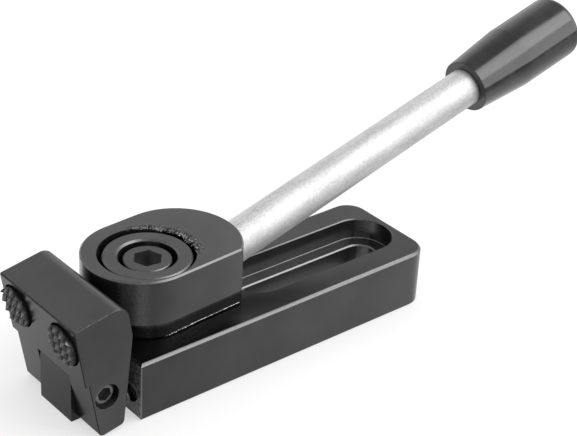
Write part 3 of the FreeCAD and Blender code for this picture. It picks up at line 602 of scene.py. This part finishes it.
def flakeNodes(name, material):
    # a sharp flat flake, turned and sized at random, on every vertex of the mesh it is given
    group = bpy.data.node_groups.new(name, "GeometryNodeTree")
    socket, add = group.interface.new_socket, group.nodes.new
    socket("Geometry", in_out="INPUT", socket_type="NodeSocketGeometry")
    inputs = {"Least": "NodeSocketVector", "Most": "NodeSocketVector", "Seed": "NodeSocketInt"}
    keys = [socket(part, in_out="INPUT", socket_type=kind).identifier for part, kind in inputs.items()]
    socket("Geometry", in_out="OUTPUT", socket_type="NodeSocketGeometry")
    start, end, flake = add("NodeGroupInput"), add("NodeGroupOutput"), add("GeometryNodeMeshCone")
    turn, size = add("FunctionNodeRandomValue"), add("FunctionNodeRandomValue")
    spots, whole = add("GeometryNodeInstanceOnPoints"), add("GeometryNodeRealizeInstances")
    paint = add("GeometryNodeSetMaterial")
    flake.inputs["Vertices"].default_value = flakes["corners"]
    flake.inputs["Radius Bottom"].default_value = flakes["radius"] * mm
    flake.inputs["Depth"].default_value = flakes["height"] * mm
    turn.data_type = size.data_type = "FLOAT_VECTOR"
    turn.inputs[0].default_value = flakes["leastTurn"]
    turn.inputs[1].default_value = flakes["mostTurn"]
    paint.inputs["Material"].default_value = material
    links = [
        (start.outputs["Least"], size.inputs[0]),
        (start.outputs["Most"], size.inputs[1]),
        (start.outputs["Seed"], size.inputs["Seed"]),
        (start.outputs["Seed"], turn.inputs["Seed"]),
        (start.outputs["Geometry"], spots.inputs["Points"]),
        (flake.outputs["Mesh"], spots.inputs["Instance"]),
        (turn.outputs[0], spots.inputs["Rotation"]),
        (size.outputs[0], spots.inputs["Scale"]),
        (spots.outputs[0], whole.inputs[0]),
        (whole.outputs[0], paint.inputs["Geometry"]),
        (paint.outputs[0], end.inputs[0]),
    ]
    for source, target in links:
        group.links.new(source, target)
    return group, keys


def makeFlakes(name, points, seed, material):
    made = addObject(name, meshOf(name, points, []))
    group, keys = flakeNodes(name + "Nodes", material)
    repeat = made.modifiers.new("flakes", "NODES")
    repeat.node_group = group
    for key, value in zip(keys, (flakes["least"], flakes["most"], seed)):
        repeat[key] = value
    view = bpy.context.evaluated_depsgraph_get()
    plain = bpy.data.meshes.new_from_object(made.evaluated_get(view))
    made.modifiers.remove(repeat)
    made.data = plain
    rideHead(made)


# the flakes lie in rows this far out from the rim, and a little above the top
rimFlakes = {
    "count": 300, "seed": 11, "rows": (-0.35, 0.4, 1.1, 1.9), "scatter": 0.35, "lift": 0.09, "turnSeed": 2,
}


def rimSpots():
    rng = np.random.default_rng(rimFlakes["seed"])
    spots = []
    for _ in range(rimFlakes["count"]):
        side = math.radians(rng.uniform(rimTear["start"], rimTear["end"]))
        away = rimEdge(side) + rng.choice(rimFlakes["rows"]) + rng.normal(0, rimFlakes["scatter"])
        spots.append(onHead(away, side, rimTear["top"] + rng.uniform(0.0, rimFlakes["lift"])))
    return spots


# the near flank of the boss, and what lies along its foot, in millimetres from the pivot and the base
foot = {
    "flank": -14.4, "flakes": 46, "seed": 3, "flakeSpan": (-4.0, 9.5), "flakeOut": 0.2,
    "flakeHeight": 24.8, "flakeScatter": 0.15, "turnSeed": 8,
    "beadSpan": (8.5, 32.6), "bead": ((-0.02, 24.95), (0.13, 24.83), (0.12, 24.75), (-0.02, 24.72)),
}


def alongFoot(x, out, height):
    y = foot["flank"] - out
    return onHead(math.hypot(x, y), math.atan2(y, x), height)


def footSpots():
    rng = np.random.default_rng(foot["seed"])
    places = rng.uniform(*foot["flakeSpan"], foot["flakes"])
    heights = foot["flakeHeight"] + rng.normal(0, foot["flakeScatter"], foot["flakes"])
    return [alongFoot(x, foot["flakeOut"], height) for x, height in zip(places, heights)]


def makeFootBead():
    # thin rolled edge along the foot of the boss, in light steel: a painted highlight line
    points = [alongFoot(x, out, height) for x in foot["beadSpan"] for out, height in foot["bead"]]
    faces = [(row, row + 1, row + 5, row + 4) for row in range(3)]
    return points, faces + [(0, 4, 7, 3), (3, 2, 1, 0), (4, 5, 6, 7)]


makeFlakes("rimFlakes", rimSpots(), rimFlakes["turnSeed"], tornSteel)
makeFlakes("footFlakes", footSpots(), foot["turnSeed"], paintedGlintSteel)
rideHead(addObject("footBead", meshOf("footBead", *makeFootBead(), beadHighlightSteel)))
print("torn edges made")


# size in metres; the mirrored light has its slopes along and across, per millimetre
floorLook = {
    "size": 4.0, "tone": 0.50, "glow": 0.50, "roughness": 0.7, "specular": 0.1,
    "mirrored": 0.72, "along": 0.0028, "across": 0.0045, "dimmest": 0.3, "far": (210.0, 400.0, 1.0, 0.5),
}


def floorFinish():
    # painted shade seen only in reflections: mirrored in the steel and the grip, the floor is darker towards
    # the front left and far right
    finish = Finish("paleFloor", Roughness=floorLook["roughness"], Specular_IOR_Level=floorLook["specular"],
                    Emission_Strength=1.0)
    x, y, _ = finish.place().axes()
    fall = x * floorLook["along"] + y * floorLook["across"] + floorLook["mirrored"]
    fall = fall.most(floorLook["dimmest"]).least(1.0) * x.ramp(*floorLook["far"])
    light = 1.0 + finish.node("LightPath", output="Is Glossy Ray") * (fall - 1.0)
    tone, glow = [finish.colour(light, 3 * [0.0], 3 * [floorLook[part]]) for part in ("tone", "glow")]
    return finish.feed(Base_Color=tone, Emission_Color=glow)


def makeFloor():
    half = floorLook["size"] / 2
    corners = [(-half, -half, 0), (half, -half, 0), (half, half, 0), (-half, half, 0)]
    addObject("floor", meshOf("floor", corners, [(0, 1, 2, 3)], floorFinish()))


# the way from the clamp to the lamp, its reach and size in metres, and its power in watts
keyLook = {"way": (0.43, -0.50, 0.77), "reach": 1.3, "size": (0.85, 0.85), "power": 5.0}


def makeKeyLight():
    lamp = bpy.data.lights.new("keyBox", "AREA")
    lamp.shape = "RECTANGLE"
    lamp.size, lamp.size_y = keyLook["size"]
    lamp.energy = keyLook["power"]
    way = Vector(keyLook["way"]).normalized()
    made = addObject("keyBox", lamp)
    made.location = (cadBox[0] + cadBox[1]) / 2 + way * keyLook["reach"]
    made.rotation_euler = (-way).to_track_quat("-Z", "Y").to_euler()
    made.visible_camera = False


# ramps that end in strengths: up from the walls to the ceiling, and about the way to the lit wall
skyLook = {
    "height": (0.45, 0.85, 1.1, 0.55), "wallWay": (0.58, -0.69, 0.44), "wall": (0.72, 0.86, 0.0, 1.9),
}


def makeSky():
    # a plain studio: bright walls, one of them lit, a darker ceiling, and white for the camera
    world = bpy.data.worlds.new("studio")
    bpy.context.scene.world = world
    world.use_nodes = True
    world.node_tree.nodes.clear()
    sky = Shading(world.node_tree)
    way = sky.node("TexCoord", output="Generated")
    toward = sky.node("VectorMath", {0: way, 1: Vector(skyLook["wallWay"]).normalized()}, output="Value",
                      operation="DOT_PRODUCT")
    bright = way.axes()[2].ramp(*skyLook["height"]) + toward.ramp(*skyLook["wall"])
    camera, diffuse = [sky.node("LightPath", output=ray) for ray in ("Is Camera Ray", "Is Diffuse Ray")]
    studio = sky.node("Background", {"Strength": bright})
    white = sky.node("Background", {"Color": (1.0, 1.0, 1.0, 1.0), "Strength": 1.0})
    mixed = sky.node("MixShader", {0: camera.most(diffuse), 1: studio, 2: white})
    output = sky.tree.nodes.new("ShaderNodeOutputWorld")
    sky.tree.links.new(mixed.socket, output.inputs["Surface"])


# place in metres, turn in degrees, lens and sensor in millimetres
cameraLook = {
    "place": (-0.27506, -0.41019, 0.35624), "turn": (60.247, -2.899, -39.705),
    "lens": 101.763, "sensor": 36.0, "shift": (-0.0004, 0.0008), "clip": (0.01, 20.0),
}


def makeCamera():
    camera = bpy.data.cameras.new("camera")
    camera.lens, camera.sensor_width = cameraLook["lens"], cameraLook["sensor"]
    camera.shift_x, camera.shift_y = cameraLook["shift"]
    camera.clip_start, camera.clip_end = cameraLook["clip"]
    turn = Euler([math.radians(angle) for angle in cameraLook["turn"]])
    made = addObject("camera", camera)
    made.matrix_world = Matrix.LocRotScale(Vector(cameraLook["place"]), turn, None)
    bpy.context.scene.camera = made


makeFloor()
makeKeyLight()
makeSky()
makeCamera()
bpy.context.scene.view_settings.view_transform = "Standard"
print("stage set")
